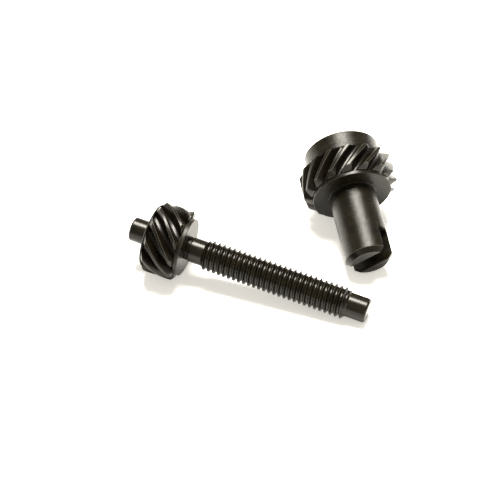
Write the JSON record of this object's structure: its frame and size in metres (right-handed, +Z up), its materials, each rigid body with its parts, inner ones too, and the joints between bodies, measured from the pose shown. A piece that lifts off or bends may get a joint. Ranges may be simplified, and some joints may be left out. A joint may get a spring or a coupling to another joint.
{
  "type": "worm gear set",
  "caption": "Blackened steel tensioner gear set: a threaded adjusting screw with a helical pinion, and a slotted stud with the helical gear that turns it at right angles.",
  "frame": {"origin": "bottom centre of the box around both items, on the surface they lie on", "axes": "+Z up; +X along the longest side of the box, towards the stud; the screw's threaded end points mostly along +X and the stud's slotted end mostly along -Y"},
  "size_m": [0.0504, 0.0396, 0.0185],
  "materials": {
    "screw_steel": "black oxide on turned steel, worn bright on the thread crests",
    "pinion_steel": "black oxide on hobbed teeth, rubbed grey along their edges",
    "washer_steel": "black oxide on flat washers, worn to olive grey",
    "stud_steel": "black oxide on turned steel, fine turning marks and oil haze",
    "gear_steel": "black oxide on hobbed teeth, rubbed grey along their edges"
  },
  "bodies": {
    "washers": {"screw_thrust_washer": "washer_steel", "gear_thrust_washer": "washer_steel"},
    "screw": {"adjusting_screw": "screw_steel", "screw_pinion": "pinion_steel"},
    "adjuster": {"adjuster_stud": "stud_steel", "drive_gear": "gear_steel"}
  },
  "joints": [
    {"name": "screw_spin", "type": "hinge", "parent": "washers", "child": "screw", "pos_m": [-0.01439, -0.00495, 0.00658], "axis": [0.9267, -0.3575, -0.1155], "continuous": true},
    {"name": "adjuster_spin", "type": "hinge", "parent": "washers", "child": "adjuster", "pos_m": [0.01665, 0.00818, 0.00837], "axis": [0.1937, -0.9394, -0.2829], "continuous": true}
  ]
}
